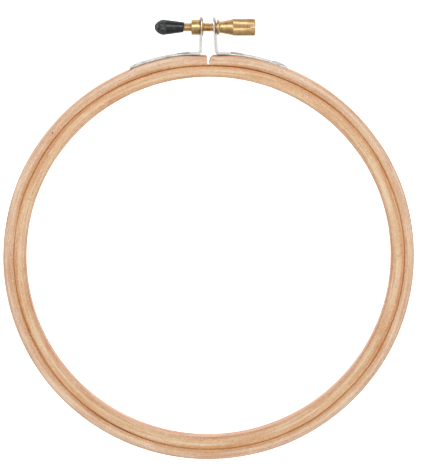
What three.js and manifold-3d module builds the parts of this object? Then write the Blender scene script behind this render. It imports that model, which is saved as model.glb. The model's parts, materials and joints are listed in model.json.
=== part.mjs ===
// A 160 mm embroidery hoop: a plain inner ring and a split outer ring of bent wood. A brass clamping
// screw between two riveted steel brackets pulls the ends of the outer ring together.
//
// Millimetres. The hoop lies flat with its back on z = 0, its axis along +Z and its screw towards +Y.
// The origin is at the middle of the base of the whole object's box.

import * as THREE from 'three';
import { mergeVertices } from 'three/addons/utils/BufferGeometryUtils.js';
import Module from 'manifold-3d';

const wasm = await Module();
wasm.setup();

// Wooden rings
const HOOP_DEPTH = 8;
const MID_Z = HOOP_DEPTH / 2;
const OUTER_R = 80;
const OUTER_BORE_R = 76.1;
const INNER_R = 75.85;
const FIELD_R = 71.2;
const EDGE_R = 1.1;
const EDGE_STEPS = 2;
const RING_STEPS = 96;
const HINGE_GAP = 0.3;
const OUTLINE_REACH = 90;

// Free ends of the outer ring: half gap at the bore, half gap at the outside, height where it flares
const LEFT_END = { side: -1, throat: 0.45, lip: 0.95, flareY: 77.6 };
const RIGHT_END = { side: 1, throat: 0.35, lip: 1.7, flareY: 77.2 };

// Steel brackets, each let into a shallow seat on the outside of the ring
const STRIP_T = 0.8;
const STRIP_WIDTH = 7;
const SEAT_R = 79.3;
const SEAT_END_DEG = 22.7;
const STRAP_GAP = 0.1;
const STRAP_MID_R = SEAT_R + STRAP_GAP + STRIP_T / 2;
const STRAP_TOP_R = STRAP_MID_R + STRIP_T / 2;
const STRAP_END_DEG = 22.4;
const BEND_R = 1.4;
const EAR_TOP_Y = 94.2;
const EAR_CORNER_R = 2;
const LEFT_EAR = { side: -1, baseX: 3.12, leanDeg: 1.6, holeR: 2.4, rivetDegs: [7, 19.6] };
const RIGHT_EAR = { side: 1, baseX: 3.15, leanDeg: 4.2, holeR: 1.8, rivetDegs: [7.8, 19.6] };

// Rivets, measured outwards from the hoop's centre
const RIVET_R = 1.2;
const RIVET_HOLE_R = 1.4;
const HEAD_R = 2.6;
const HEAD_RIM = 0.1;
const HEAD_RISE = 0.45;
const HEAD_SEAT = STRAP_TOP_R + 0.12;
const CLINCH_R = 2;
const CLINCH_FROM = 76.3;
const CLINCH_TO = 76.75;
const RECESS_R = 2.3;
const RECESS_TO = 77;

// Clamping screw, M3 x 0.5, along X through the ears
const SCREW_Y = 90;
const SHANK_R = 1.5;
const SCREW_TIP_X = -16.5;
const TIP_CHAMFER = 0.35;
const FLANGE_X = [3.3, 4.15];
const FLANGE_R = 2.85;
const NECK_R = 2.2;
const NECK_END_X = 9.6;
const GRIP_R = 3.25;
const GRIP_CHAMFER = 0.35;
const GRIP_END_X = 18.1;
const SLOT_WIDTH = 0.66;
const SLOT_DEPTH = 2.1;

// Threaded bush staked into the left ear
const BUSH_BORE_R = 1.75;
const BUSH_X = [-6.5, -3.5];
const BUSH_R = 2.85;
const SPIGOT_R = 2.2;
const COLLAR_X = [-2.2, -1.7];
const COLLAR_R = 3.45;

// Cap on the tip of the screw
const CAP_X = [-20.6, -9.3];
const CAP_WIDEST_X = -17.7;
const CAP_R = 2.9;
const CAP_MOUTH_R = 1.85;
const CAP_BORE_R = 1.6;
const CAP_BORE_END_X = -16.8;

const TURNED_STEPS = 24;
const RIVET_STEPS = 16;
const CURVE_STEPS = 5;
const SEAT_STEPS = 16;
const MERGE_MM = 1e-4;

const degrees = THREE.MathUtils.degToRad;

// Cutting and joining

function toSolid(geometry) {
  const bare = geometry.clone();
  bare.deleteAttribute('normal');
  bare.deleteAttribute('uv');
  const merged = mergeVertices(bare, MERGE_MM);
  const vertProperties = Float32Array.from(merged.attributes.position.array);
  const triVerts = Uint32Array.from(merged.index.array);
  return new wasm.Manifold(new wasm.Mesh({ numProp: 3, vertProperties, triVerts }));
}

function toGeometry(solid) {
  const mesh = solid.getMesh();
  const geometry = new THREE.BufferGeometry();
  geometry.setAttribute('position', new THREE.BufferAttribute(mesh.vertProperties, 3));
  geometry.setIndex(new THREE.BufferAttribute(mesh.triVerts, 1));
  geometry.computeVertexNormals();
  return geometry;
}

// Shapes

// Points of an elliptical arc about (cx, cy), with both of its ends.
function arc(cx, cy, rx, ry, fromDeg, toDeg, steps) {
  const points = [];
  for (let i = 0; i <= steps; i += 1) {
    const angle = degrees(fromDeg + ((toDeg - fromDeg) * i) / steps);
    points.push(new THREE.Vector2(cx + rx * Math.cos(angle), cy + ry * Math.sin(angle)));
  }
  return points;
}

// Outline between z-planes, as a prism along Z.
function prism(outline, fromZ, toZ) {
  const geometry = new THREE.ExtrudeGeometry(outline, {
    depth: toZ - fromZ,
    bevelEnabled: false,
    curveSegments: CURVE_STEPS,
  });
  return geometry.translate(0, 0, fromZ);
}

// Rectangular section with rounded edges, turned about the hoop's axis.
function ringGeometry(boreR, outsideR) {
  const e = EDGE_R;
  const section = [
    ...arc(outsideR - e, e, e, e, -90, 0, EDGE_STEPS),
    ...arc(outsideR - e, HOOP_DEPTH - e, e, e, 0, 90, EDGE_STEPS),
    ...arc(boreR + e, HOOP_DEPTH - e, e, e, 90, 180, EDGE_STEPS),
    ...arc(boreR + e, e, e, e, 180, 270, EDGE_STEPS),
  ];
  section.push(section[0].clone());
  return new THREE.LatheGeometry(section, RING_STEPS).rotateX(Math.PI / 2);
}

// Profile of [radius, x] pairs, turned about the screw's axis.
function turnedAlongX(profile, steps) {
  const points = profile.map(([radius, x]) => new THREE.Vector2(radius, x));
  const turned = new THREE.LatheGeometry(points, steps);
  return turned.rotateZ(-Math.PI / 2).translate(0, SCREW_Y, MID_Z);
}

// Lathe geometry about +Y, swung to a place on the ring that is deg away from the split.
function swungToRing(geometry, side, deg) {
  return geometry.rotateZ(-side * degrees(deg)).translate(0, 0, MID_Z);
}

// Plain round bar from one radius of the hoop to another, for cutting a rivet's hole.
function radialBar(side, deg, radius, from, to) {
  const bar = new THREE.CylinderGeometry(radius, radius, to - from, RIVET_STEPS);
  return swungToRing(bar.translate(0, (from + to) / 2, 0), side, deg);
}

// Outer ring

// Half of the plane, with the shape of the ring's free end along its inner edge.
function halfOutline({ side, throat, lip, flareY }) {
  const outline = new THREE.Shape();
  outline.moveTo((side * HINGE_GAP) / 2, -OUTLINE_REACH);
  outline.lineTo((side * HINGE_GAP) / 2, 0);
  outline.lineTo(side * throat, FIELD_R);
  outline.lineTo(side * throat, flareY);
  outline.quadraticCurveTo(side * throat, OUTER_R - EDGE_R, side * lip, OUTER_R);
  outline.lineTo(side * lip, OUTLINE_REACH);
  outline.lineTo(side * OUTLINE_REACH, OUTLINE_REACH);
  outline.lineTo(side * OUTLINE_REACH, -OUTLINE_REACH);
  return outline;
}

// What is cut away outside the strap's seat, on both sides of the split.
function seatCutter() {
  const floor = arc(0, 0, SEAT_R, SEAT_R, 90 - SEAT_END_DEG, 90 + SEAT_END_DEG, SEAT_STEPS);
  const beyond = arc(0, 0, OUTLINE_REACH, OUTLINE_REACH, 90 + SEAT_END_DEG, 90 - SEAT_END_DEG, 1);
  return prism(new THREE.Shape([...floor, ...beyond]), -1, HOOP_DEPTH + 1);
}

function outerHoopHalf(end, ear) {
  const ring = toSolid(ringGeometry(OUTER_BORE_R, OUTER_R)).subtract(toSolid(seatCutter()));
  const half = toSolid(prism(halfOutline(end), -1, HOOP_DEPTH + 1));
  let wood = ring.intersect(half);
  for (const deg of ear.rivetDegs) {
    const hole = radialBar(end.side, deg, RIVET_HOLE_R, FIELD_R, OUTER_R + 1);
    const recess = radialBar(end.side, deg, RECESS_R, FIELD_R, RECESS_TO);
    wood = wood.subtract(toSolid(hole)).subtract(toSolid(recess));
  }
  return toGeometry(wood);
}

// Brackets

// Middle line of the bent strip: round the ring, through the bend and up the leaning ear.
function stripMiddleLine({ baseX, leanDeg }) {
  const bendX = baseX + BEND_R;
  const bendY = Math.sqrt((STRAP_MID_R + BEND_R) ** 2 - bendX ** 2);
  const strapStartDeg = THREE.MathUtils.radToDeg(Math.atan2(bendY, bendX));
  const strapEndDeg = 90 - STRAP_END_DEG;
  const strap = arc(0, 0, STRAP_MID_R, STRAP_MID_R, strapEndDeg, strapStartDeg, 2 * CURVE_STEPS);
  const bend = arc(bendX, bendY, BEND_R, BEND_R, strapStartDeg + 180, 180 + leanDeg, CURVE_STEPS);
  const earFoot = bend[bend.length - 1];
  const rise = EAR_TOP_Y - earFoot.y;
  const earTop = new THREE.Vector2(earFoot.x - rise * Math.tan(degrees(leanDeg)), EAR_TOP_Y);
  return [...strap, ...bend.slice(1), earTop];
}

// Outline of a strip of even thickness along a line of points.
function stripOutline(line, thickness) {
  const near = [];
  const far = [];
  line.forEach((point, i) => {
    const before = line[Math.max(i - 1, 0)];
    const after = line[Math.min(i + 1, line.length - 1)];
    const across = after.clone().sub(before).normalize().rotateAround(new THREE.Vector2(), Math.PI / 2);
    near.push(point.clone().addScaledVector(across, thickness / 2));
    far.unshift(point.clone().addScaledVector(across, -thickness / 2));
  });
  return [...near, ...far];
}

// Side view of an ear, as a prism along X: square below, with rounded corners at the top.
function earEnvelope() {
  const half = STRIP_WIDTH / 2;
  const inset = half - EAR_CORNER_R;
  const cornerY = EAR_TOP_Y - EAR_CORNER_R;
  const outline = new THREE.Shape();
  outline.moveTo(-half, 0);
  outline.lineTo(half, 0);
  outline.lineTo(half, cornerY);
  outline.absarc(inset, cornerY, EAR_CORNER_R, 0, Math.PI / 2, false);
  outline.absarc(-inset, cornerY, EAR_CORNER_R, Math.PI / 2, Math.PI, false);
  outline.closePath();
  const envelope = prism(outline, -OUTER_R / 2, OUTER_R / 2);
  return envelope.rotateY(Math.PI / 2).translate(0, 0, MID_Z);
}

function bracket(ear) {
  const line = stripMiddleLine(ear).map((p) => new THREE.Vector2(ear.side * p.x, p.y));
  const outline = new THREE.Shape(stripOutline(line, STRIP_T));
  const fromZ = MID_Z - STRIP_WIDTH / 2;
  const strip = toSolid(prism(outline, fromZ, fromZ + STRIP_WIDTH));
  const reach = 2 * ear.baseX;
  const bore = new THREE.CylinderGeometry(ear.holeR, ear.holeR, reach, TURNED_STEPS);
  bore.rotateZ(-Math.PI / 2).translate(ear.side * ear.baseX, SCREW_Y, MID_Z);
  let plate = strip.intersect(toSolid(earEnvelope())).subtract(toSolid(bore));
  for (const deg of ear.rivetDegs) {
    const hole = radialBar(ear.side, deg, RIVET_HOLE_R, OUTER_R - 1, HEAD_SEAT);
    plate = plate.subtract(toSolid(hole));
  }
  return toGeometry(plate);
}

// Turned pieces

// Domed head outside the strap, shank through the wood, and a clinched foot in the ring's bore.
function rivet(side, deg) {
  const profile = [
    new THREE.Vector2(0, CLINCH_FROM),
    new THREE.Vector2(CLINCH_R, CLINCH_FROM),
    new THREE.Vector2(CLINCH_R, CLINCH_TO),
    new THREE.Vector2(RIVET_R, CLINCH_TO),
    new THREE.Vector2(RIVET_R, HEAD_SEAT),
    new THREE.Vector2(HEAD_R, HEAD_SEAT),
    ...arc(0, HEAD_SEAT + HEAD_RIM, HEAD_R, HEAD_RISE, 0, 90, 4),
  ];
  profile[profile.length - 1].x = 0;
  return swungToRing(new THREE.LatheGeometry(profile, RIVET_STEPS), side, deg);
}

// Shank, flange, tapered neck and round grip, with a driver slot across the end of the grip.
function clampScrew() {
  const profile = [
    [0, SCREW_TIP_X],
    [SHANK_R - TIP_CHAMFER, SCREW_TIP_X],
    [SHANK_R, SCREW_TIP_X + TIP_CHAMFER],
    [SHANK_R, FLANGE_X[0]],
    [FLANGE_R, FLANGE_X[0]],
    [FLANGE_R, FLANGE_X[1]],
    [NECK_R, FLANGE_X[1]],
    [FLANGE_R, NECK_END_X],
    [GRIP_R, NECK_END_X + GRIP_CHAMFER],
    [GRIP_R, GRIP_END_X - GRIP_CHAMFER],
    [GRIP_R - GRIP_CHAMFER, GRIP_END_X],
    [0, GRIP_END_X],
  ];
  const blank = toSolid(turnedAlongX(profile, TURNED_STEPS));
  const slot = new THREE.BoxGeometry(2 * SLOT_DEPTH, SLOT_WIDTH, 3 * GRIP_R);
  slot.translate(GRIP_END_X, SCREW_Y, MID_Z);
  return toGeometry(blank.subtract(toSolid(slot)));
}

// Barrel outside the left ear, spigot through it and staked collar inside it.
function threadedBush() {
  return turnedAlongX([
    [BUSH_BORE_R, BUSH_X[0]],
    [BUSH_R, BUSH_X[0]],
    [BUSH_R, BUSH_X[1]],
    [SPIGOT_R, BUSH_X[1]],
    [SPIGOT_R, COLLAR_X[0]],
    [COLLAR_R, COLLAR_X[0]],
    [COLLAR_R, COLLAR_X[1]],
    [BUSH_BORE_R, COLLAR_X[1]],
    [BUSH_BORE_R, BUSH_X[0]],
  ], TURNED_STEPS);
}

// Round nose, straight taper to the mouth, and a blind bore for the screw's tip.
function tipCap() {
  const nose = arc(0, CAP_WIDEST_X, CAP_R, CAP_WIDEST_X - CAP_X[0], -90, 0, CURVE_STEPS);
  nose[0].x = 0;
  return turnedAlongX([
    ...nose.map((point) => [point.x, point.y]),
    [CAP_MOUTH_R, CAP_X[1]],
    [CAP_BORE_R, CAP_X[1]],
    [CAP_BORE_R, CAP_BORE_END_X],
    [0, CAP_BORE_END_X],
  ], TURNED_STEPS);
}

// Assembly

const outerWood = { color: 0xd7b89c, roughness: 0.72, metalness: 0 };
const innerWood = { color: 0xdeb996, roughness: 0.68, metalness: 0 };
const steel = { color: 0xb9b9b6, roughness: 0.35, metalness: 1 };
const brass = { color: 0xc9a35a, roughness: 0.3, metalness: 1 };
const blackPlastic = { color: 0x1b1a19, roughness: 0.35, metalness: 0 };

const pieces = [
  ['inner_hoop', ringGeometry(FIELD_R, INNER_R), innerWood],
  ['outer_hoop_left', outerHoopHalf(LEFT_END, LEFT_EAR), outerWood],
  ['outer_hoop_right', outerHoopHalf(RIGHT_END, RIGHT_EAR), outerWood],
  ['bracket_left', bracket(LEFT_EAR), steel],
  ['bracket_right', bracket(RIGHT_EAR), steel],
  ['threaded_bush', threadedBush(), brass],
  ['clamp_screw', clampScrew(), brass],
  ['tip_cap', tipCap(), blackPlastic],
];
for (const [word, ear] of [['left', LEFT_EAR], ['right', RIGHT_EAR]]) {
  ear.rivetDegs.forEach((deg, i) => {
    pieces.push([`rivet_${word}_${i + 1}`, rivet(ear.side, deg), steel]);
  });
}

const hoop = new THREE.Group();
hoop.position.y = (OUTER_R - EAR_TOP_Y) / 2;
for (const [name, geometry, finish] of pieces) {
  const mesh = new THREE.Mesh(geometry, new THREE.MeshStandardMaterial(finish));
  mesh.name = name;
  hoop.add(mesh);
}

const embroideryHoop = new THREE.Group();
embroideryHoop.add(hoop);

export default embroideryHoop;
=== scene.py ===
# %% [markdown]
# # A round wooden embroidery hoop
# Two rings of bent beech nest in each other and grip a cloth between them. The outer one is split,
# and a brass screw between two riveted steel brackets draws its ends together.
# The imported CAD model is the frame. The looks are built around it here, piece by piece, and every
# piece but the outer ring rides on the body that MuJoCo moves.

import json
import math

import bpy
import numpy as np
from mathutils import Matrix, Vector


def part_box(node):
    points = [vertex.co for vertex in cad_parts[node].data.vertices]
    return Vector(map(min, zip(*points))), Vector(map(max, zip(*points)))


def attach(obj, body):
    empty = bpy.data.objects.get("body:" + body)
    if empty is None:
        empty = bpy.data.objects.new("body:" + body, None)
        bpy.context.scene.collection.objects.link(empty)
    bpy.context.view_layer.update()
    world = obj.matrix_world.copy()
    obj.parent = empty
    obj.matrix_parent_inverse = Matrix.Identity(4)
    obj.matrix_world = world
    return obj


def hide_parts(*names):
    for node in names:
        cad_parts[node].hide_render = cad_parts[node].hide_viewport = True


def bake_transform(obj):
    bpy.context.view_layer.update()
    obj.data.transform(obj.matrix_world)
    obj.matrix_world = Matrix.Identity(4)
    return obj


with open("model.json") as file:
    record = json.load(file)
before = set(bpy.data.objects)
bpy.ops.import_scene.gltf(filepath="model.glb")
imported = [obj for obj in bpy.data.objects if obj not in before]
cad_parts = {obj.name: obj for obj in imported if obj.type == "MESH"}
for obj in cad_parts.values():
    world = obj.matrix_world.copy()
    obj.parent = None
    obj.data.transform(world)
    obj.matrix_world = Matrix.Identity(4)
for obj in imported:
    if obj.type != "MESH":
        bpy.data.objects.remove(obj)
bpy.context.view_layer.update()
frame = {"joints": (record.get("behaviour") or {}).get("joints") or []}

# %% [markdown]
# A hoop is drawn from its own centre, so every shape below is worked out in millimetres from the
# middle of the rings, with the height measured from half their depth. The middle, the depth, the
# radii and the screw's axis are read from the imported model, so the looks can't drift away from it.

# %% Measure the frame
MM = 0.001
ring_low, ring_high = (np.array(corner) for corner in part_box("inner_hoop"))
RING_CENTRE = (ring_low + ring_high) / 2
HALF_DEPTH = (ring_high[2] - ring_low[2]) / 2 / MM
INNER_RIM = (ring_high[0] - ring_low[0]) / 2 / MM
OUTER_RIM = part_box("outer_hoop_right")[1][0] / MM
joint_place = {joint["name"]: joint.get("pos_m") for joint in frame["joints"]}
SCREW_Y = (joint_place["screw_turn"][1] - RING_CENTRE[1]) / MM
EAR_TOP = (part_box("bracket_right")[1][1] - RING_CENTRE[1]) / MM
print(f"rims {INNER_RIM:.2f} and {OUTER_RIM:.2f} mm, half depth {HALF_DEPTH:.1f} mm, "
      f"screw axis at {SCREW_Y:.1f} mm, ears end at {EAR_TOP:.1f} mm")

# %% [markdown]
# Nearly every part of a hoop is a section carried along a path: the rings round a circle, the turned
# parts along their axis. One function joins the sections with quads, another closes the two ends
# with fans of triangles, and a third puts the arrays into a mesh. It turns the faces outwards by the
# sign of the volume that they enclose.

# %% Mesh helpers
SMOOTH_ANGLE = math.radians(35)


def skin(columns, ring, joined=False):
    """Quads between neighbouring sections: (column, point), (column+1, point), (column+1, point+1),
    (column, point+1). Points wrap round the section, columns wrap only where the path is joined."""
    column, point = np.meshgrid(np.arange(columns - (not joined)), np.arange(ring), indexing="ij")
    corners = [(column, point), (column + 1, point), (column + 1, point + 1), (column, point + 1)]
    index = [(c % columns) * ring + p % ring for c, p in corners]
    return np.stack(index, axis=-1).reshape(-1, 4)


def end_fans(columns, ring):
    """Triangles from the first section to vertex columns*ring and from the last one to the next."""
    here = np.arange(ring)
    after = (here + 1) % ring
    first = np.stack([np.full(ring, columns * ring), here, after], axis=-1)
    last = np.stack([np.full(ring, columns * ring + 1), after, here], axis=-1)
    last[:, 1:] += (columns - 1) * ring
    return np.concatenate([first, last])


def enclosed_volume(points, faces):
    """Sum of a.(b x c)/6 over the triangles (a, b, c) that fan out from each face's first corner."""
    total = 0.0
    for k in range(1, faces.shape[1] - 1):
        a, b, c = (points[faces[:, i]] for i in (0, k, k + 1))
        total += np.sum(a * np.cross(b, c)) / 6
    return total


def make_piece(name, points, faces, board=None):
    """One mesh object. points is (n, 3) in millimetres from the rings' centre, faces a list of index
    arrays, one for each number of corners, and board a list of the same shapes with a vector each."""
    outward = sum(enclosed_volume(points, group) for group in faces) > 0
    turn = slice(None) if outward else slice(None, None, -1)
    corners = np.concatenate([group[:, turn].ravel() for group in faces])
    counts = np.concatenate([np.full(len(group), group.shape[1]) for group in faces])
    mesh = bpy.data.meshes.new(name)
    mesh.vertices.add(len(points))
    mesh.vertices.foreach_set("co", (points * MM + RING_CENTRE).astype(np.float32).ravel())
    mesh.loops.add(len(corners))
    mesh.polygons.add(len(counts))
    mesh.polygons.foreach_set("loop_start", (np.cumsum(counts) - counts).astype(np.int32))
    mesh.polygons.foreach_set("vertices", corners.astype(np.int32))
    mesh.update(calc_edges=True)
    if board is not None:
        values = np.concatenate([group[:, turn].reshape(-1, 3) for group in board])
        layer = mesh.attributes.new("board", "FLOAT_VECTOR", "CORNER")
        layer.data.foreach_set("vector", values.astype(np.float32).ravel())
    mesh.polygons.foreach_set("use_smooth", np.ones(len(counts), bool))
    mesh.set_sharp_from_angle(angle=SMOOTH_ANGLE)
    piece = bpy.data.objects.new(name, mesh)
    bpy.context.scene.collection.objects.link(piece)
    print(f"{name}: {len(points)} vertices, {len(counts)} faces")
    return piece


print(f"shading breaks at edges sharper than {math.degrees(SMOOTH_ANGLE):.0f} degrees")

# %% [markdown]
# Bent-wood rings are sanded after bending, so the section is a rectangle with generously rounded
# edges. Where two of these edges meet at the gap they make the soft V groove that shows between the
# rings. The section is a closed loop of corner arcs and straight runs.

# %% Ring section
def ring_section(bore, rim, bore_edge, rim_edge, corner_steps=7, face_steps=10, wall_steps=5):
    """Closed loop of (radius, height): quarter circles of radius rim_edge and bore_edge about their
    own centres, centre + edge*(cos, sin), joined by evenly divided straight runs."""
    turns = [(rim - rim_edge, 1, rim_edge, 0), (bore + bore_edge, 1, bore_edge, 90),
             (bore + bore_edge, -1, bore_edge, 180), (rim - rim_edge, -1, rim_edge, 270)]
    arcs = []
    for radius, side, edge, start in turns:
        angle = np.radians(np.linspace(start, start + 90, corner_steps))
        middle = np.array([radius, side * (HALF_DEPTH - edge)])
        arcs.append(middle + edge * np.stack([np.cos(angle), np.sin(angle)], axis=-1))
    loop = []
    for arc, after, steps in zip(arcs, arcs[1:] + arcs[:1], [face_steps, wall_steps] * 2):
        share = np.linspace(0, 1, steps + 1)[1:-1, None]
        loop += [arc, arc[-1] * (1 - share) + after[0] * share]
    return np.concatenate(loop)


OUTER_WALL, INNER_WALL = 3.9, 4.77
OUTER_BORE, INNER_BORE = OUTER_RIM - OUTER_WALL, INNER_RIM - INNER_WALL
outer_section = ring_section(OUTER_BORE, OUTER_RIM, 0.42, 0.95)
inner_section = ring_section(INNER_BORE, INNER_RIM, 0.75, 0.48)
print(f"sections of {len(outer_section)} and {len(inner_section)} points")

# %% [markdown]
# A hand-tightened ring is never quite round: it touches its neighbour in some places and stands off
# in others, which is why the gap line changes from thin to dark on its way round. Its rim is worn
# down at the split. Smooth bumps, each given by its bearing, its reach and its height, make all that.

# %% Bearings and smooth bumps
def smooth_step(share):
    """3t^2 - 2t^3 of the share held between 0 and 1."""
    t = np.clip(share, 0, 1)
    return t * t * (3 - 2 * t)


def bumps(bearing, listed):
    """Sum of height*exp(-(d/reach)^2), where d is the angle in degrees from each bump's bearing."""
    total = np.zeros_like(bearing)
    for middle, reach, height in listed:
        away = (bearing - middle + 180) % 360 - 180
        total = total + height * np.exp(-((away / reach) ** 2))
    return total


def round_the_ring(radius, bearing, height):
    """Points radius*(cos, sin) of the bearing in degrees from +X towards +Y, at that height."""
    angle = np.radians(bearing)
    return np.stack([radius * np.cos(angle), radius * np.sin(angle), height], axis=-1)


RIM_DRIFT = [(25, 14, 0.21), (54, 14, 0.18), (90, 7.5, -0.68), (117, 14, -0.09), (157, 10, 0.22),
             (205, 25, -0.07), (285, 25, 0.07), (322, 12, -0.05)]
BORE_DRIFT = [(106, 30, 0.12), (15, 12, -0.08), (320, 20, -0.04)]
OVAL = (0.2, 0.15)
GAP_LOOSE = [(68, 18, 0.22), (242, 9, 0.22), (110, 16, 0.1), (90, 8, 0.08)]
GAP_DRIFT = [(132, 13, 0.46), (147, 8, 0.15), (162, 7, 0.26), (22, 8, -0.15), (44, 14, 0.22),
             (90, 10, -0.35), (205, 12, -0.17), (231, 5, -0.1), (240, 8, 0.14), (276, 14, 0.1),
             (314, 10, -0.38), (336, 9, -0.19)]


def oval(bearing):
    """Both rings are a little wider than tall: a*cos(2b) + c*sin(2b) is added to every radius."""
    twice = np.radians(2 * bearing)
    return OVAL[0] * np.cos(twice) + OVAL[1] * np.sin(twice)


def gap_shift(bearing):
    """Where the gap lies: 0.24*cos(b) - 0.1 plus smooth bumps, because the walls are not even."""
    return 0.24 * np.cos(np.radians(bearing)) - 0.1 + bumps(bearing, GAP_DRIFT)


print("rim drifts by up to", max(abs(b[2]) for b in RIM_DRIFT), "mm")

# %% [markdown]
# The inner ring is one strip of beech whose ends are cut to long wedges and glued into a scarf. Its
# mesh is a tube joined into a ring. The grain has to run along the strip, so each face corner also
# stores where it lies on the board: the distance along the strip, the radius and the height. These
# live on corners, not on points, so the distance can start again at the glue line.

# %% Inner ring
SCARF_BEARING = 161.0
INNER_COLUMNS = 720
CROWN, CLEARANCE, RIPPLE = 0.18, 0.16, 0.02


def inner_ring():
    """Section carried round 360 degrees from the scarf. The bumps of the gap move its points by how
    near they are to the rim, those of the bore by how near they are to the bore. The rim is crowned
    by CROWN*(1 - (height/half depth)^2), so that the rings meet at mid depth."""
    bearing = SCARF_BEARING + np.arange(INNER_COLUMNS + 1)[:, None] * 360 / INNER_COLUMNS
    radius, height = inner_section[None, :, 0], inner_section[None, :, 1]
    rimward = (radius - INNER_BORE) / INNER_WALL
    ripple = RIPPLE * np.sin(np.radians(7 * bearing))
    play = np.clip(CLEARANCE - bumps(bearing, GAP_LOOSE) + ripple, -0.2, 0.18)
    crown = CROWN * (1 - (height / HALF_DEPTH) ** 2)
    radius = radius + rimward * (play + crown + gap_shift(bearing)) + oval(bearing)
    radius = radius + (1 - rimward) * bumps(bearing, BORE_DRIFT)
    height = height + 0 * bearing
    points = round_the_ring(radius, bearing, height)
    along = (bearing - SCARF_BEARING) * math.pi / 180 * (INNER_RIM - INNER_WALL / 2) + 0 * height
    ring = len(inner_section)
    quads = skin(INNER_COLUMNS, ring, joined=True)
    unrolled = skin(INNER_COLUMNS + 1, ring)
    board = np.stack([along, inner_section[None, :, 0] + 0 * along, height], axis=-1).reshape(-1, 3)
    return points[:-1].reshape(-1, 3), [quads], [board[unrolled]]


inner_points, inner_faces, inner_board = inner_ring()
inner_wood_ring = make_piece("inner_wood_ring", inner_points, inner_faces, inner_board)

# %% [markdown]
# The outer ring is split at the screw. Its ends are sawn and have splintered a little: the left end
# is almost straight, the right one has a worn, rounded lip. The mesh is a tube whose two ends follow
# their own curves, with more sections close to the split and a rough, fibrous end face. Under the
# straps the riveting has made the wood swell a little.

# %% Outer ring
SWELL, SWELL_END, SWELL_RAMP = 0.32, 22.6, 1.3
LEFT_SPLIT = {"throat": 0.58, "lip": 1.0, "flare_from": 77.6, "rough": 0.07}
RIGHT_SPLIT = {"throat": 0.32, "lip": 1.68, "flare_from": 76.9, "rough": 0.13}


def split_edge(radius, height, throat, lip, flare_from, rough):
    """Distance of the end face from the split's middle: throat up to flare_from, then rising to lip
    as share^2.2 of the way to the rim, plus fibres as a product of sine waves."""
    share = np.clip((radius - flare_from) / (OUTER_RIM - flare_from), 0, 1)
    fibres = np.sin(5.1 * radius + 2.3 * height) * np.sin(3.7 * height - 4.4 * radius + 1.0)
    front = np.clip(height / HALF_DEPTH, -1, 1)
    return throat + (lip - throat) * share ** 2.2 + rough * (fibres + 0.4 * front * share)


def outer_columns():
    """Shares of the way round, closer together near both ends: 30 steps of 0.12 mm, then 0.7 mm."""
    length = 2 * math.pi * (OUTER_RIM - OUTER_WALL / 2)
    fine = np.arange(31) * 0.12
    coarse = np.linspace(fine[-1], length - fine[-1], 700)[1:-1]
    return np.concatenate([fine, coarse, length - fine[::-1]]) / length


def outer_ring():
    """Each section runs from the left end's bearing to the right end's by its share of the way. The
    end faces are the same section drawn in towards its middle, as a set of closing columns."""
    share = outer_columns()
    inset = np.array([0.94, 0.82, 0.64, 0.44, 0.22])
    share = np.concatenate([np.zeros(len(inset)), share, np.ones(len(inset))])[:, None]
    size = np.concatenate([inset[::-1], np.ones(len(share) - 2 * len(inset)), inset])[:, None]
    middle = np.array([OUTER_RIM - OUTER_WALL / 2, 0])
    radius = middle[0] + (outer_section[None, :, 0] - middle[0]) * size
    height = outer_section[None, :, 1] * size
    left = 90 + np.degrees(split_edge(radius, height, **LEFT_SPLIT) / radius)
    right = 450 - np.degrees(split_edge(radius, height, **RIGHT_SPLIT) / radius)
    bearing = left * (1 - share) + right * share
    from_split = np.abs((bearing - 90 + 180) % 360 - 180)
    starts, ends = smooth_step((from_split - 3) / 4), smooth_step((SWELL_END - from_split) / SWELL_RAMP)
    rimward = (radius - OUTER_BORE) / OUTER_WALL
    shaped = radius + rimward * (bumps(bearing, RIM_DRIFT) + SWELL * ends * starts)
    shaped = shaped + (1 - rimward) * gap_shift(bearing) + oval(bearing)
    columns, ring = bearing.shape
    points = round_the_ring(shaped, bearing, height).reshape(-1, 3)
    poles = points.reshape(columns, ring, 3)[[0, -1]].mean(axis=1)
    along = (bearing - 90) * math.pi / 180 * middle[0]
    board = np.stack([along, radius, height], axis=-1).reshape(-1, 3)
    board_poles = board.reshape(columns, ring, 3)[[0, -1]].mean(axis=1)
    quads, fans = skin(columns, ring), end_fans(columns, ring)
    board = np.concatenate([board, board_poles])
    return np.concatenate([points, poles]), [quads, fans], [board[quads], board[fans]]


outer_points, outer_faces, outer_board = outer_ring()
outer_wood_ring = make_piece("outer_wood_ring", outer_points, outer_faces, outer_board)

# %% [markdown]
# The brackets are plated steel strip: a strap bent round the ring, a tight bend, and an ear that
# stands up to the screw. A flat pattern is the natural way to make one, as a press does: a grid for
# the strip, and a second grid that spreads from the round hole to the ear's outline. Both are bent
# along the strip's middle line. Solidify then gives the thickness and Bevel rolls the edges.

# %% Bracket pattern
STRIP_T, STRIP_HALF, BEND_R, EAR_CORNER, EDGE_ROLL = 0.62, 3.5, 1.35, 3.2, 0.16
STRAP_R, STRAP_SAG, SAG_REACH = OUTER_RIM + 0.38, 0.55, 9
STRAP_END = 22.4
LEFT_EAR = {"side": -1, "base_x": 3.12, "lean": 0.6, "hole": 2.4, "twist": -5.3}
RIGHT_EAR = {"side": 1, "base_x": 3.0, "lean": 3.8, "hole": 1.8, "twist": -6.3}


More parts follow.
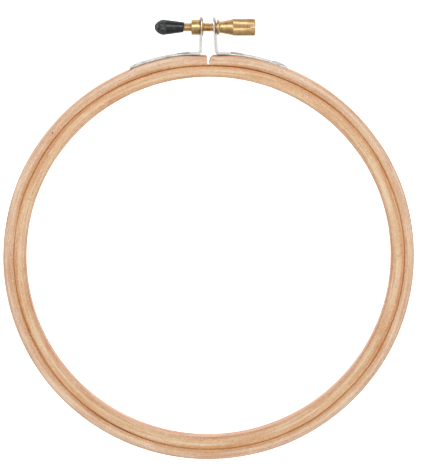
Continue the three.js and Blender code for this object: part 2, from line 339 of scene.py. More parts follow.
def strip_line(base_x, lean):
    """The strip's middle line as three lengths and a function of the distance along it: an arc about
    the rings' centre, an arc of the bend's radius, and a straight ear that leans towards the split."""
    bend_x = base_x + BEND_R
    bend_y = math.sqrt((STRAP_R + BEND_R) ** 2 - bend_x ** 2)
    first, last, tilt = math.radians(90 - STRAP_END), math.atan2(bend_y, bend_x), math.radians(lean)
    strap, bend = STRAP_R * (last - first), BEND_R * (last - tilt)
    foot = np.array([bend_x, bend_y]) - BEND_R * np.array([math.cos(tilt), math.sin(tilt)])
    ear = (EAR_TOP - foot[1]) / math.cos(tilt)

    def point(s):
        """(x, y) at distance s."""
        a = first + np.clip(s, 0, strap) / STRAP_R
        b = last + math.pi - np.clip(s - strap, 0, bend) / BEND_R
        c = np.clip(s - strap - bend, 0, None)
        on_strap = STRAP_R * np.stack([np.cos(a), np.sin(a)], axis=-1)
        on_bend = [bend_x, bend_y] + BEND_R * np.stack([np.cos(b), np.sin(b)], axis=-1)
        on_ear = foot + np.stack([-math.sin(tilt) * c, math.cos(tilt) * c], axis=-1)
        s = s[..., None]
        return np.where(s <= strap, on_strap, np.where(s <= strap + bend, on_bend, on_ear))

    hole_at = strap + bend + (SCREW_Y - foot[1]) / math.cos(tilt)
    return {"strap": strap, "foot": strap + bend, "end": strap + bend + ear, "hole": hole_at,
            "point": point}


def ear_pattern(line, hole, across=14, spread=5):
    """Grid of (distance, width) from the round hole to the ear's outline: each outline point and the
    hole's point in the same direction are joined by a straight row. Returns it and where it starts."""
    start, end, corner = line["hole"] - 3.9, line["end"], EAR_CORNER
    foot = np.stack([np.full(across, start), np.linspace(-STRIP_HALF, STRIP_HALF, across + 1)[:-1]], -1)
    side = np.stack([np.linspace(start, end - corner, 9)[:-1], np.full(8, STRIP_HALF)], -1)
    turn, inset = np.radians(np.linspace(90, 0, 7)), STRIP_HALF - corner
    bend = np.stack([end - corner + corner * np.cos(turn), inset + corner * np.sin(turn)], -1)
    half = np.concatenate([side, bend])
    top = np.stack([np.full(4, end), np.linspace(inset, -inset, 6)[1:-1]], -1)
    outline = np.concatenate([foot, half, top, (half * [1, -1])[::-1][:-1]])
    outward = outline - [line["hole"], 0]
    outward = outward / np.linalg.norm(outward, axis=1, keepdims=True)
    rim = [line["hole"], 0] + hole * outward
    share = np.linspace(0, 1, spread + 1)[:, None, None]
    return rim * (1 - share) + outline * share, start


def bracket(name, side, base_x, lean, hole, twist):
    """Bends the pattern: (distance, width) goes to the middle line's point, with the width along Z.
    In the bend the strip also turns about its own length, by twist degrees. The strap follows the
    ring down at the split by sag*exp(-(x/reach)^2), fading out on the ear."""
    line = strip_line(base_x, lean)
    ear, start = ear_pattern(line, hole)
    width = np.linspace(-STRIP_HALF, STRIP_HALF, 15)
    reach = np.concatenate([np.linspace(0, line["strap"], 40),
                            np.linspace(line["strap"], line["foot"], 12)[1:],
                            np.linspace(line["foot"], start, 8)[1:]])
    strip = np.stack(np.meshgrid(reach, width, indexing="ij"), axis=-1)
    rows, columns = strip.shape[:2]
    r, c = np.meshgrid(np.arange(rows - 1), np.arange(columns - 1), indexing="ij")
    corner = r * columns + c
    strip_faces = np.stack([corner, corner + columns, corner + columns + 1, corner + 1], -1)
    strip_faces = strip_faces.reshape(-1, 4)
    ear_faces = skin(len(ear), ear.shape[1])[:, ::-1] + rows * columns
    flat = np.concatenate([strip.reshape(-1, 2), ear.reshape(-1, 2)])
    place = line["point"](flat[:, 0])
    turned = smooth_step((flat[:, 0] - line["strap"] + 1) / (line["foot"] - line["strap"] + 1))
    turn = np.radians(twist) * turned
    x = place[:, 0] + flat[:, 1] * np.sin(turn)
    above_foot = smooth_step((flat[:, 0] - line["foot"]) / 4)
    sag = STRAP_SAG * np.exp(-((place[:, 0] / SAG_REACH) ** 2)) * (1 - above_foot)
    points = np.stack([side * x, place[:, 1] - sag, flat[:, 1] * np.cos(turn)], axis=-1)
    made = make_piece(name, points, [np.concatenate([strip_faces, ear_faces])])
    weld = made.modifiers.new("weld", "WELD")
    weld.merge_threshold = 0.01 * MM
    walls = made.modifiers.new("thickness", "SOLIDIFY")
    walls.thickness, walls.offset = STRIP_T * MM, 0
    rolled = made.modifiers.new("rolled edges", "BEVEL")
    rolled.width, rolled.segments, rolled.angle_limit = EDGE_ROLL * MM, 2, math.radians(50)
    return made


left_bracket = bracket("left_bracket", **LEFT_EAR)
right_bracket = bracket("right_bracket", **RIGHT_EAR)

# %% [markdown]
# Turned parts are a profile spun about an axis. Corners on a lathe are never razor sharp, so a helper
# eases each corner of a profile with a short curve. Rivets stand on the strap along a radius of the
# ring, the screw's parts lie along X.

# %% Turning helpers
def eased(corners, ease, steps=3):
    """Profile whose inner corners become quadratic Bezier curves (1-t)^2 a + 2t(1-t) corner + t^2 b,
    where a and b lie up to `ease` before and after the corner, at most 0.45 of the way."""
    corners = np.array(corners, float)
    before, corner, after = corners[:-2], corners[1:-1], corners[2:]
    back, onward = before - corner, after - corner
    back_length = np.linalg.norm(back, axis=1, keepdims=True)
    onward_length = np.linalg.norm(onward, axis=1, keepdims=True)
    a = corner + back / back_length * np.minimum(ease, 0.45 * back_length)
    b = corner + onward / onward_length * np.minimum(ease, 0.45 * onward_length)
    t = np.linspace(0, 1, steps + 1)[None, :, None]
    curve = (1 - t) ** 2 * a[:, None] + 2 * t * (1 - t) * corner[:, None] + t ** 2 * b[:, None]
    return np.concatenate([corners[:1], curve.reshape(-1, 2), corners[-1:]])


def spun(profile, steps, radius_change=None):
    """Rows of (along, across, third) = (a, r cos t, r sin t) for each profile row (a, r), with r
    changed by radius_change(a, t) where it is given."""
    angle = np.arange(steps)[None, :] * 2 * math.pi / steps
    along, radius = profile[:, :1] + 0 * angle, profile[:, 1:] + 0 * angle
    if radius_change is not None:
        radius = radius + radius_change(along, radius, angle)
    return np.stack([along, radius * np.cos(angle), radius * np.sin(angle)], axis=-1)


def turned_solid(name, profile, steps, basis, origin, radius_change=None, reshape=None):
    """Solid of revolution. The profile's first and last rows lie on the axis and become poles."""
    body = spun(profile[1:-1], steps, radius_change)
    if reshape is not None:
        body = reshape(body)
    poles = np.zeros((2, 3))
    poles[:, 0] = profile[[0, -1], 0]
    local = np.concatenate([body.reshape(-1, 3), poles])
    faces = [skin(len(body), steps), end_fans(len(body), steps)]
    return make_piece(name, local @ basis + origin, faces)


ALONG_X = np.eye(3)
SCREW_AXIS = np.array([0, SCREW_Y, 0])
print("turning helpers ready, screw axis", SCREW_AXIS)

# %% [markdown]
# Four rivets hold the straps. Each has a low domed head outside and a clinched foot in the bore. They
# were set by hand, so no two domes stand equally high.

# %% Rivets
RIVET_HEAD, RIVET_SHANK, RIVET_FOOT, HEAD_RIM = 2.6, 1.2, 2.0, 0.1
FOOT_FROM, FOOT_TO = 76.0, 76.5
rivets_by_body = {"left_side": [(-7.0, 0.15), (-19.6, 0.22)], "right_side": [(7.8, 0.28), (19.6, 0.45)]}


def rivet(name, bearing, rise):
    """Profile along the ring's radius: foot, shank and a dome that stands rise*sqrt(1 - (r/head)^2)
    above the head's thin rim."""
    seat = STRAP_R + STRIP_T / 2
    angle = np.radians(np.linspace(0, 82, 9))
    dome = np.stack([seat + HEAD_RIM + rise * np.sin(angle), RIVET_HEAD * np.cos(angle)], axis=-1)
    foot = eased([(FOOT_FROM, 0), (FOOT_FROM, RIVET_FOOT), (FOOT_TO, RIVET_FOOT), (FOOT_TO, RIVET_SHANK),
                  (seat, RIVET_SHANK), (seat, RIVET_HEAD), dome[0]], 0.08)
    profile = np.concatenate([foot, dome[1:], [[seat + HEAD_RIM + rise, 0]]])
    t = math.radians(90 - bearing)
    basis = np.array([[math.cos(t), math.sin(t), 0], [-math.sin(t), math.cos(t), 0], [0, 0, 1]])
    return turned_solid(name, profile, 40, basis, np.zeros(3))


rivets = {}
for body, listed in rivets_by_body.items():
    for number, (bearing, rise) in enumerate(listed, 1):
        rivets[f"{body}_rivet_{number}"] = (rivet(f"{body}_rivet_{number}", bearing, rise), body)

# %% [markdown]
# The clamp screw is turned from one brass bar: an M3 thread with a pitch of 0.5 mm, a flange that
# bears on the ear, a neck that widens to the grip, and a straight knurl so that fingers can turn it.
# The profile is spun once. Thread and knurl are changes of the radius: a wave that depends on both
# the distance and the angle is a helix, one that depends on the angle alone is a straight knurl.

# %% Clamp screw
PITCH, THREAD_DEPTH = 0.5, 0.13
SHANK_R, TIP_X, SHANK_END = 1.66, -16.5, 3.12
KNURL_TEETH, KNURL_DEPTH = 36, 0.14
GRIP_FROM, GRIP_TO, GRIP_R = 9.2, 18.2, 3.27


def triangle_wave(turns):
    """0 at whole turns, rising to 1 half way between them."""
    return 1 - np.abs(2 * (turns % 1) - 1)


def thread_and_knurl(along, radius, angle):
    """Thread: -depth*(1.3 w(x/pitch - t/2pi) - 0.15), held between 0 and -depth, with the triangle
    wave w, from tip to flange. Knurl: -depth*w(teeth*t/2pi)^0.8 on the grip. Both fade out over a
    short run at their ends."""
    turn = angle / (2 * math.pi)
    threaded = smooth_step((along - TIP_X - 0.1) / 0.5) * smooth_step((SHANK_END - 0.1 - along) / 0.4)
    threaded = threaded * (radius < SHANK_R + 0.01)
    knurled = smooth_step((along - GRIP_FROM - 0.15) / 0.3) * smooth_step((GRIP_TO - 0.2 - along) / 0.3)
    knurled = knurled * (radius > GRIP_R - 0.01)
    thread = np.clip(1.3 * triangle_wave(along / PITCH - turn) - 0.15, 0, 1)
    knurl = triangle_wave(KNURL_TEETH * turn) ** 0.8
    return -THREAD_DEPTH * threaded * thread - KNURL_DEPTH * knurled * knurl


def screw_profile():
    """Shank divided into eighths of the pitch, then the head's corners eased."""
    rows = np.arange(TIP_X + 0.3, SHANK_END - 0.05, PITCH / 8)
    shank = np.stack([rows, np.full(len(rows), SHANK_R)], axis=-1)
    tip = np.array([[TIP_X, 0], [TIP_X, SHANK_R - 0.3]])
    flange = [(SHANK_END, SHANK_R), (SHANK_END, 2.6), (3.4, 2.95), (3.9, 2.93), (4.3, 2.4)]
    neck = [(4.6, 2.24), (GRIP_FROM - 0.15, 3.12)]
    grip = [(GRIP_FROM, GRIP_R - 0.12), (GRIP_FROM + 0.3, GRIP_R), (GRIP_TO - 0.35, GRIP_R),
            (GRIP_TO, GRIP_R - 0.4), (GRIP_TO, 0)]
    return np.concatenate([tip, shank, eased(flange + neck + grip, 0.14)])


screw_body = turned_solid("knurled_screw", screw_profile(), 144, ALONG_X, SCREW_AXIS, thread_and_knurl)

# %% [markdown]
# A driver slot is milled across the end of the grip. Milling is a cut, so a box-shaped cutter is
# subtracted and thrown away.

# %% Mill the slot
SLOT_HALF, SLOT_DEPTH = 0.33, 2.1


def mill(piece, low, high):
    """Cuts the box between two corners, in millimetres from the rings' centre, out of the piece."""
    pick = np.array([[x, y, z] for x in (0, 1) for y in (0, 1) for z in (0, 1)])
    corners = np.array(low) + pick * (np.array(high) - np.array(low))
    sides = np.array([[0, 1, 3, 2], [4, 6, 7, 5], [0, 4, 5, 1],
                      [2, 3, 7, 6], [0, 2, 6, 4], [1, 5, 7, 3]])
    cutter = make_piece("cutter", corners, [sides])
    cut = piece.modifiers.new("cut", "BOOLEAN")
    cut.operation, cut.solver, cut.object = "DIFFERENCE", "EXACT", cutter
    graph = bpy.context.evaluated_depsgraph_get()
    milled = bpy.data.meshes.new_from_object(piece.evaluated_get(graph))
    piece.modifiers.clear()
    piece.data = milled
    bpy.data.objects.remove(cutter)
    milled.set_sharp_from_angle(angle=SMOOTH_ANGLE)
    print(f"{piece.name}: milled, {len(milled.polygons)} faces")


mill(screw_body, (GRIP_TO - SLOT_DEPTH, SCREW_Y - SLOT_HALF, -5),
     (GRIP_TO + 1, SCREW_Y + SLOT_HALF, 5))

# %% [markdown]
# The bush is the nut of the hoop: a barrel outside the left ear, a spigot through it and a collar
# that is staked over on the inside. It has a bore, so its profile is a closed loop spun into a ring.

# %% Threaded bush
BUSH_BORE, BARREL_R, SPIGOT_R = 1.86, 3.0, 2.2
BARREL_FROM, BARREL_TO, COLLAR_FROM, COLLAR_TO = -6.7, -3.4, -2.75, -2.0


def threaded_bush():
    """Loop of eased corners from the barrel over the spigot and collar and back through the bore."""
    barrel = [(BARREL_FROM, BUSH_BORE + 0.2), (BARREL_FROM, BARREL_R), (BARREL_TO, BARREL_R)]
    spigot = [(BARREL_TO, SPIGOT_R), (COLLAR_FROM, SPIGOT_R)]
    collar = [(COLLAR_FROM, 3.75), (-2.4, 3.7), (COLLAR_TO, 3.05), (COLLAR_TO, BUSH_BORE + 0.1)]
    bore = [(COLLAR_TO - 0.2, BUSH_BORE), (BARREL_FROM + 0.2, BUSH_BORE)]
    corners = barrel + spigot + collar + bore
    loop = eased([corners[-1], *corners, corners[0]], 0.22, 4)[1:-1]
    local = spun(loop, 64).reshape(-1, 3)
    return make_piece("brass_bush", local + SCREW_AXIS, [skin(len(loop), 64, joined=True)])


bush = threaded_bush()

# %% [markdown]
# A black plastic cap covers the sharp end of the thread. It has a thick, blunt nose, which has been
# knocked about and is faceted and dull, and tapers to a thin mouth that was cut slightly askew.

# %% Tip cap
CAP_NOSE, CAP_CREASE, CAP_MOUTH = -20.95, -16.4, -9.6
CAP_BORE, CAP_BORE_END, ASKEW = 1.72, -16.8, 0.1


def nose_dents(along, radius, angle):
    """Shallow dents on the nose: a product of sine waves of angle and distance, faded out between
    the nose and the crease, with a slight groove at the crease itself."""
    nose = 1 - smooth_step((along - CAP_CREASE + 1.4) / 1.3)
    waves = np.sin(3 * angle + 1.3) * np.sin(2.1 * along + 0.7) + 0.6 * np.sin(5 * angle + 2.2 * along)
    groove = np.exp(-(((along - CAP_CREASE) / 0.16) ** 2))
    outside = radius > CAP_BORE + 0.03
    return outside * (0.09 * nose * waves - 0.07 * groove)


def askew_mouth(body):
    """Leans the mouth: x grows by ASKEW times the height y, rising from the crease to the mouth."""
    share = smooth_step((body[..., 0] - CAP_CREASE) / (CAP_MOUTH - CAP_CREASE))
    leaned = body.copy()
    leaned[..., 0] += ASKEW * share * body[..., 1]
    return leaned


def cap_profile():
    """Nose to mouth along the outside, then back along the bore."""
    nose = [(CAP_NOSE, 0), (CAP_NOSE, 0.7), (-20.5, 1.45), (-19.6, 2.25), (-18.6, 2.8), (-17.7, 3.02)]
    body = [(CAP_CREASE, 2.88), (CAP_MOUTH - 0.1, 1.97)]
    bore = [(CAP_MOUTH, CAP_BORE), (CAP_BORE_END, CAP_BORE), (CAP_BORE_END, 0)]
    corners = eased(nose + body + bore, 0.3)
    lengths = np.concatenate([[0], np.cumsum(np.linalg.norm(np.diff(corners, axis=0), axis=1))])
    even = np.unique(np.concatenate([lengths, np.arange(0, lengths[-1], 0.15)]))
    return np.stack([np.interp(even, lengths, corners[:, k]) for k in (0, 1)], axis=-1)


cap = turned_solid("black_cap", cap_profile(), 72, ALONG_X, SCREW_AXIS, nose_dents, askew_mouth)

# %% [markdown]
# A finish is a small tree of nodes. This class keeps its cells short: each call adds one node,
# fills its sockets with a number or a link, and returns the socket that comes out.

# %% Finish helper
def linear(code):
    """Colour from its hexadecimal screen code to the linear values that shaders use."""
    parts = np.array([int(code[k:k + 2], 16) for k in (0, 2, 4)]) / 255
    low, high = parts / 12.92, ((parts + 0.055) / 1.055) ** 2.4
    return (*np.where(parts <= 0.04045, low, high), 1.0)


class Finish:
    """A material with its Principled shader, and short calls for the nodes that feed it."""

    def __init__(self, name, **values):
        self.material = bpy.data.materials.new(name)
        self.material.use_nodes = True
        self.tree = self.material.node_tree
        self.shader = self.tree.nodes["Principled BSDF"]
        for socket, value in values.items():
            self.shader.inputs[socket.replace("_", " ")].default_value = value

    def add(self, kind, inputs, out=0, **settings):
        made = self.tree.nodes.new(kind)
        for key, value in settings.items():
            setattr(made, key, value)
        for socket, value in inputs.items():
            if isinstance(value, bpy.types.NodeSocket):
                self.tree.links.new(value, made.inputs[socket])
            else:
                made.inputs[socket].default_value = value
        return made.outputs[out]

    def stretch(self, vector, factors):
        return self.add("ShaderNodeVectorMath", {0: vector, 1: factors}, operation="MULTIPLY")

    def noise(self, vector, scale, detail=2.0, roughness=0.5):
        return self.add("ShaderNodeTexNoise", {"Vector": vector, "Scale": scale, "Detail": detail,
                                               "Roughness": roughness})

    def calc(self, a, b, operation="ADD"):
        return self.add("ShaderNodeMath", {0: a, 1: b}, operation=operation)

    def between(self, value, low, high, to_low=0.0, to_high=1.0):
        return self.add("ShaderNodeMapRange", {"Value": value, "From Min": low, "From Max": high,
                                               "To Min": to_low, "To Max": to_high})

    def ramp(self, factor, stops):
        made = self.tree.nodes.new("ShaderNodeValToRGB")
        while len(made.color_ramp.elements) < len(stops):
            made.color_ramp.elements.new(0.5)
        for element, (place, code) in zip(made.color_ramp.elements, stops):
            element.position, element.color = place, linear(code)
        self.tree.links.new(factor, made.inputs[0])
        return made.outputs[0]

    def mix(self, share, a, b, blend="MIX"):
        made = self.tree.nodes.new("ShaderNodeMix")
        made.data_type, made.blend_type = "RGBA", blend
        for socket, value in (("Factor_Float", share), ("A_Color", a), ("B_Color", b)):
            place = next(s for s in made.inputs if s.identifier == socket)
            if isinstance(value, bpy.types.NodeSocket):
                self.tree.links.new(value, place)
            else:
                place.default_value = value
        return next(s for s in made.outputs if s.identifier == "Result_Color")

    def relief(self, height, distance):
        normal = self.add("ShaderNodeBump", {"Height": height, "Distance": distance, "Strength": 1.0})
        self.tree.links.new(normal, self.shader.inputs["Normal"])

    def wear(self, socket, value):
        self.tree.links.new(value, self.shader.inputs[socket])


print("colour of bare beech in linear values:", [round(float(v), 3) for v in linear("E2C4A6")[:3]])

# %% [markdown]
# Beech is pale with a faint pink, has long soft streaks along the grain and short darker flecks, and
# yellows where it was scorched or rubbed in bending. All of that follows the board, not the room, so
# the pattern reads the board attribute: noise drawn out along the strip for the streaks, finer noise
# for the flecks, and a ramp over the radius for the warm edges beside the gap. The bore and the rim
# take one even tone under the same streaks.

# %% Wood finish
def spot(finish, board, bearing, radius, reach, start, mean_radius, turn=0.0):
    """1 inside an ellipse of half sizes `reach` on the front face, fading to 0 at its edge: the board
    vector is centred and turned, and its length mapped."""
    along = math.radians((bearing - start) % 360) * mean_radius
    centred = finish.add("ShaderNodeMapping", {
        "Vector": board, "Location": (along, radius, HALF_DEPTH),
        "Rotation": (0, 0, math.radians(turn)), "Scale": (*reach, 2.0)}, vector_type="TEXTURE")
    away = finish.add("ShaderNodeVectorMath", {0: centred}, out="Value", operation="LENGTH")
    return finish.between(away, 1.0, 0.55)


def wood(name, bore, rim, tones, wall, spots, start, scarf=0.0):
    """Beech for a ring from bore to rim. tones are the ramp's stops over the radius on the front and
    back, wall the colour of bore and rim between them, spots the marks (bearing, radius, half sizes,
    turn, colour, strength)."""
    mean = (bore + rim) / 2
    finish = Finish(name, IOR=1.45)
    board = finish.add("ShaderNodeAttribute", {}, out="Vector", attribute_name="board")
    parts = finish.tree.nodes.new("ShaderNodeSeparateXYZ")
    finish.tree.links.new(board, parts.inputs[0])
    along, radius, height = parts.outputs
    if scarf:
        length = 2 * math.pi * mean
        slant = finish.between(radius, bore, rim, -scarf / 2, scarf / 2)
        early = finish.calc(along, slant, "LESS_THAN")
        late = finish.calc(finish.calc(along, length, "SUBTRACT"), slant, "GREATER_THAN")
        shift = finish.calc(finish.calc(early, late, "SUBTRACT"), length, "MULTIPLY")
        moved = finish.calc(along, shift)
        shifted = finish.add("ShaderNodeCombineXYZ", {0: moved, 1: radius, 2: height})
    else:
        shifted = board
    streak = finish.noise(finish.stretch(shifted, (0.03, 1.1, 0.8)), 1.0, 3.0)
    fibre = finish.noise(finish.stretch(shifted, (0.22, 6.0, 6.0)), 1.0, 3.0)
    fleck = finish.noise(finish.stretch(shifted, (1.3, 3.6, 3.6)), 1.0, 2.0)
    patch = finish.noise(finish.stretch(shifted, (0.06, 0.25, 0.25)), 1.0, 2.0)
    tone = finish.ramp(finish.between(radius, bore, rim), tones)
    from_middle = finish.calc(height, 0.0, "ABSOLUTE")
    face = finish.between(from_middle, HALF_DEPTH - 1.5, HALF_DEPTH - 0.7)
    tone = finish.mix(face, linear(wall), tone)
    tone = finish.mix(finish.between(streak, 0.42, 0.68, 0.0, 0.5), tone, linear("D8A878"), "MULTIPLY")
    tone = finish.mix(finish.between(streak, 0.46, 0.3, 0.0, 0.35), tone, linear("F4DDC0"))
    tone = finish.mix(finish.between(patch, 0.45, 0.7, 0.0, 0.35), tone, linear("E6B48E"), "MULTIPLY")
    tone = finish.mix(finish.between(fleck, 0.56, 0.7, 0.0, 0.42), tone, linear("C99A78"), "MULTIPLY")
    tone = finish.mix(finish.between(fleck, 0.42, 0.3, 0.0, 0.35), tone, linear("FFF0DC"), "SCREEN")
    tone = finish.mix(finish.between(fibre, 0.5, 0.75, 0.0, 0.25), tone, linear("B98560"), "MULTIPLY")
    for bearing, at, reach, turn, code, strength in spots:
        found = spot(finish, board, bearing, at, reach, start, mean, turn)
        tone = finish.mix(finish.calc(found, strength, "MULTIPLY"), tone, linear(code))
    finish.wear("Base Color", tone)
    finish.wear("Roughness", finish.between(fibre, 0.3, 0.7, 0.52, 0.74))
    finish.relief(finish.calc(fibre, finish.calc(fleck, 0.5, "MULTIPLY")), 0.04 * MM)
    return finish.material


outer_tones = [(0.0, "D0A070"), (0.12, "DEAF80"), (0.26, "E5BB92"), (0.42, "E8CBAE"), (0.8, "E8CCB2"),
               (0.93, "DDB79A"), (1.0, "D0A488")]
inner_tones = [(0.0, "CFA588"), (0.1, "DCB392"), (0.24, "E6C49E"), (0.42, "EBCFA8"), (0.62, "EAC9A4"),
               (0.8, "E6B98C"), (0.93, "E2AE7C"), (1.0, "D8A070")]
outer_spots = [(141.0, 78.1, (0.42, 0.34), 0, "3A2418", 0.9),
               (88.6, 77.9, (0.9, 0.09), 12, "8A5A3C", 0.7),
               (91.45, 77.95, (1.15, 0.1), -8, "A87450", 0.6),
               (88.7, 78.6, (0.6, 0.17), 8, "5E3A26", 0.9)]
inner_spots = [(0.7, 73.5, (0.5, 0.3), 0, "8E7A66", 0.6),
               (188.0, 73.4, (0.55, 0.25), 0, "B5703C", 0.8),
               (161.6, 73.2, (0.2, 1.3), 12, "A87850", 0.55),
               (160.9, 72.4, (0.3, 0.2), 0, "90603C", 0.5)]
outer_wood = wood("outer_beech", OUTER_BORE, OUTER_RIM, outer_tones, "E2C4A6", outer_spots, 90)
inner_wood = wood("inner_beech", INNER_BORE, INNER_RIM, inner_tones, "D6AE90", inner_spots,
                  SCARF_BEARING, scarf=12.0)
print("wood finishes:", outer_wood.name, inner_wood.name)

# %% [markdown]
# Plated strip is a satin metal with drawing lines along it and small dull patches. Brass from the
# lathe keeps fine turning rings, so its noise is squeezed along the screw's axis and hardly changes
# round it. The cap is black moulded plastic that carries pale dust and scuffs on its nose.

# %% Metal and plastic finishes
def plated_steel():
    """Lines drawn along the strip for the roughness and relief, patches for the colour."""
    finish = Finish("plated_steel", Metallic=1.0)
    place = finish.add("ShaderNodeTexCoord", {}, out="Object")
    lines = finish.noise(finish.stretch(place, (900, 300, 5200)), 1.0, 3.0)
    dull = finish.noise(place, 420.0, 4.0)
    tone = finish.ramp(dull, [(0.3, "BEBDB8"), (0.5, "DCDBD7"), (0.75, "EEEDEA")])
    finish.wear("Base Color", tone)
    finish.wear("Roughness", finish.between(finish.calc(lines, dull), 0.6, 1.4, 0.28, 0.5))
    finish.relief(lines, 0.01 * MM)
    return finish.material


def turned_brass():
    """Turning rings across the axis, over a slight tarnish."""
    finish = Finish("turned_brass", Metallic=1.0)
    place = finish.add("ShaderNodeTexCoord", {}, out="Object")
    rings = finish.noise(finish.stretch(place, (5200, 160, 160)), 1.0, 3.0)
    tarnish = finish.noise(place, 520.0, 5.0, 0.6)
    tone = finish.ramp(tarnish, [(0.3, "C49A62"), (0.48, "DDB883"), (0.62, "E8C694"), (0.8, "F0D8AE")])
    tone = finish.mix(finish.between(rings, 0.35, 0.6, 0.25, 0.0), tone, linear("8E6A34"), "MULTIPLY")
    finish.wear("Base Color", tone)
    finish.wear("Roughness", finish.between(finish.calc(rings, tarnish), 0.6, 1.4, 0.26, 0.44))
    finish.relief(rings, 0.012 * MM)
    return finish.material


def moulded_black():
    """Black all over, with scuffs that grow from the crease to the nose, and specks of dust."""
    finish = Finish("moulded_black", IOR=1.5)
    place = finish.add("ShaderNodeTexCoord", {}, out="Object")
    parts = finish.tree.nodes.new("ShaderNodeSeparateXYZ")
    finish.tree.links.new(place, parts.inputs[0])
    nose = finish.between(parts.outputs[0], (CAP_CREASE + 0.3) * MM, (CAP_CREASE - 0.6) * MM)
    scuff = finish.noise(place, 1500.0, 4.0, 0.65)
    dust = finish.noise(finish.stretch(place, (700, 1800, 1800)), 1.0, 3.0)
    amount = finish.between(nose, 0, 1, 0.12, 0.9)
    scuffed = finish.calc(finish.between(scuff, 0.5, 0.66), amount, "MULTIPLY")
    tone = finish.mix(scuffed, linear("191A1C"), linear("6E7072"))
    tone = finish.mix(finish.between(dust, 0.62, 0.74, 0.0, 0.4), tone, linear("5A5D60"))
    finish.wear("Base Color", tone)
    dullness = finish.calc(finish.calc(scuff, nose), 0.5, "MULTIPLY")
    finish.wear("Roughness", finish.between(dullness, 0.2, 0.8, 0.24, 0.5))
    finish.relief(finish.calc(scuff, finish.between(nose, 0, 1, 0.15, 1.0), "MULTIPLY"), 0.16 * MM)
    return finish.material


steel, brass, black = plated_steel(), turned_brass(), moulded_black()
print("finishes:", steel.name, brass.name, black.name)

# %% [markdown]
# Each piece takes its finish, stands for the CAD node of the same part and rides on that part's body.
# The outer ring is the exception: it is one springy strip that reaches across both halves, so it
# hangs on neither body. Each point's share of a bend over the bottom of its left half, where the
# hinge lies, is worked out and its spread printed, but the bend itself is not made here.

# %% Dress the pieces and hang them on the bodies
def dress(piece, finish, slot, body, *nodes):
    """Gives the piece its finish, hides its CAD nodes and hangs it on the body, if any. The slot is not
    used.
    """
    piece.data.materials.clear()
    piece.data.materials.append(finish)
    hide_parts(*nodes)
    if body:
        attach(piece, body)


dress(inner_wood_ring, inner_wood, "inner_wood", "inner_ring", "inner_hoop")
dress(outer_wood_ring, outer_wood, "outer_wood", None, "outer_hoop_left", "outer_hoop_right")
dress(left_bracket, steel, "steel", "left_side", "bracket_left")
dress(right_bracket, steel, "steel", "right_side", "bracket_right")
dress(bush, brass, "brass", "left_side", "threaded_bush")
dress(screw_body, brass, "brass", "screw", "clamp_screw")
dress(cap, black, "black_plastic", "cap", "tip_cap")
for name, (piece, body) in rivets.items():
    dress(piece, steel, "steel", body, f"rivet_{body.split('_')[0]}_{name[-1]}")

BEND_BEARINGS = (270.0, 236.0)
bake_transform(outer_wood_ring)
bearing = np.degrees(np.arctan2(outer_points[:, 1], outer_points[:, 0])) % 360
share = smooth_step((BEND_BEARINGS[0] - bearing) / (BEND_BEARINGS[0] - BEND_BEARINGS[1]))
share = np.where(outer_points[:, 0] < 0, share, 0.0)
print(f"outer ring: {np.mean((share > 0) & (share < 1)):.0%} of its points bend")

# %% [markdown]
# The hoop lies on its back on a white table. The table glows a little, as a light table does, so that
# the ground is white right up to the wood. A second, dimmer sheet just below stands for what the
# metal reflects of it, so that the brass keeps its outline. A long soft light above the top of the
# hoop gives the brass its lengthwise highlight, and two large ones keep the wood even.

# %% Table, light and camera
SHEET_HALF = 40.0


def stage_sheet(name, below, grey, glow):
    """A wide sheet `below` millimetres under the rings, of an even grey that glows by that much."""
    mesh = bpy.data.meshes.new(name)
    corners = np.array([[-1, -1, 0], [1, -1, 0], [1, 1, 0], [-1, 1, 0]]) * SHEET_HALF
    mesh.from_pydata(corners.tolist(), [], [[0, 1, 2, 3]])
    sheet = bpy.data.objects.new(name, mesh)
    sheet.location = (0, 0, ring_low[2] - below * MM)
    bpy.context.scene.collection.objects.link(sheet)
    paper = Finish(name, Base_Color=(grey, grey, grey, 1), Roughness=0.9)
    paper.shader.inputs["Emission Color"].default_value = (1, 1, 1, 1)
    paper.shader.inputs["Emission Strength"].default_value = glow
    mesh.materials.append(paper.material)
    return sheet


def stage_room(shades):
    """A grey room around the table. shades are (place, level) from straight down 0 to straight up 1."""
    room = bpy.data.worlds.new("room")
    bpy.context.scene.world = room
    room.use_nodes = True
    nodes, links = room.node_tree.nodes, room.node_tree.links
    sky, parts = nodes.new("ShaderNodeTexCoord"), nodes.new("ShaderNodeSeparateXYZ")
    lift, ramp = nodes.new("ShaderNodeMapRange"), nodes.new("ShaderNodeValToRGB")
    lift.inputs["From Min"].default_value = -1
    while len(ramp.color_ramp.elements) < len(shades):
        ramp.color_ramp.elements.new(0.5)
    for element, (place, level) in zip(ramp.color_ramp.elements, shades):
        element.position, element.color = place, (level, level, level, 1)
    links.new(sky.outputs["Generated"], parts.inputs[0])
    links.new(parts.outputs[2], lift.inputs["Value"])
    links.new(lift.outputs[0], ramp.inputs[0])
    links.new(ramp.outputs[0], nodes["Background"].inputs["Color"])


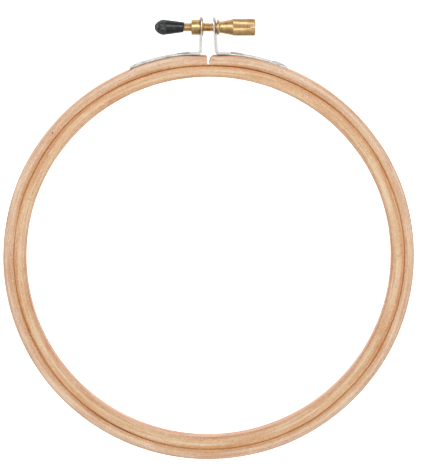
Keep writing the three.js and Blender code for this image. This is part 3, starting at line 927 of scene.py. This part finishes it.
def soft_light(name, place, aim, width, height, power):
    """A rectangular area light of that width and height in metres, turned towards the aim."""
    lamp = bpy.data.lights.new(name, "AREA")
    lamp.shape, lamp.size, lamp.size_y, lamp.energy = "RECTANGLE", width, height, power
    light = bpy.data.objects.new(name, lamp)
    light.location = place
    light.rotation_euler = (Vector(aim) - Vector(place)).to_track_quat("-Z", "Y").to_euler()
    bpy.context.scene.collection.objects.link(light)


CAMERA_TILT, CAMERA_AWAY = math.radians(8.1), 1.5
FIELD_HEIGHT, AIM_RIGHT, AIM_UP = 0.18419, 0.00465, 0.00839


def stage_camera():
    """A long lens, tilted towards the screw. It looks at a point a little beside the rings' centre, and
    the height of its field there sets the focal length."""
    lens = bpy.data.cameras.new("camera")
    lens.sensor_width = 36.0
    lens.lens = lens.sensor_width * CAMERA_AWAY / FIELD_HEIGHT
    camera = bpy.data.objects.new("camera", lens)
    pivot = Vector(RING_CENTRE.tolist())
    up = Vector((0, math.cos(CAMERA_TILT), -math.sin(CAMERA_TILT)))
    place = pivot + CAMERA_AWAY * Vector((0, math.sin(CAMERA_TILT), math.cos(CAMERA_TILT)))
    aim = pivot + AIM_RIGHT * Vector((1, 0, 0)) + AIM_UP * up
    back = (place - aim).normalized()
    right = up.cross(back).normalized()
    turn = Matrix((right, back.cross(right), back)).transposed()
    camera.matrix_world = Matrix.Translation(place) @ turn.to_4x4()
    bpy.context.scene.collection.objects.link(camera)
    bpy.context.scene.camera = camera
    print(f"camera with a {lens.lens:.0f} mm lens, {CAMERA_AWAY} m away")


table_top = stage_sheet("table_top", 0.02, 0.9, 0.9)
table_top.visible_glossy = False
mirrored_top = stage_sheet("mirrored_top", 0.06, 0.1, 0.85)
mirrored_top.visible_camera = mirrored_top.visible_diffuse = mirrored_top.visible_shadow = False
stage_camera()
soft_light("key_light", (0, 0.63, 1.07), (0, 0.08, 0), 0.9, 0.36, 5.4)
soft_light("left_light", (-0.9, 0.2, 0.9), (0, 0, 0), 0.8, 0.8, 3.2)
soft_light("right_light", (0.9, 0.1, 0.9), (0, 0, 0), 0.8, 0.8, 3.2)
stage_room([(0.0, 0.3), (0.52, 0.2), (0.75, 0.42), (1.0, 0.56)])
bpy.context.scene.view_settings.view_transform = "Standard"
print("stage ready")
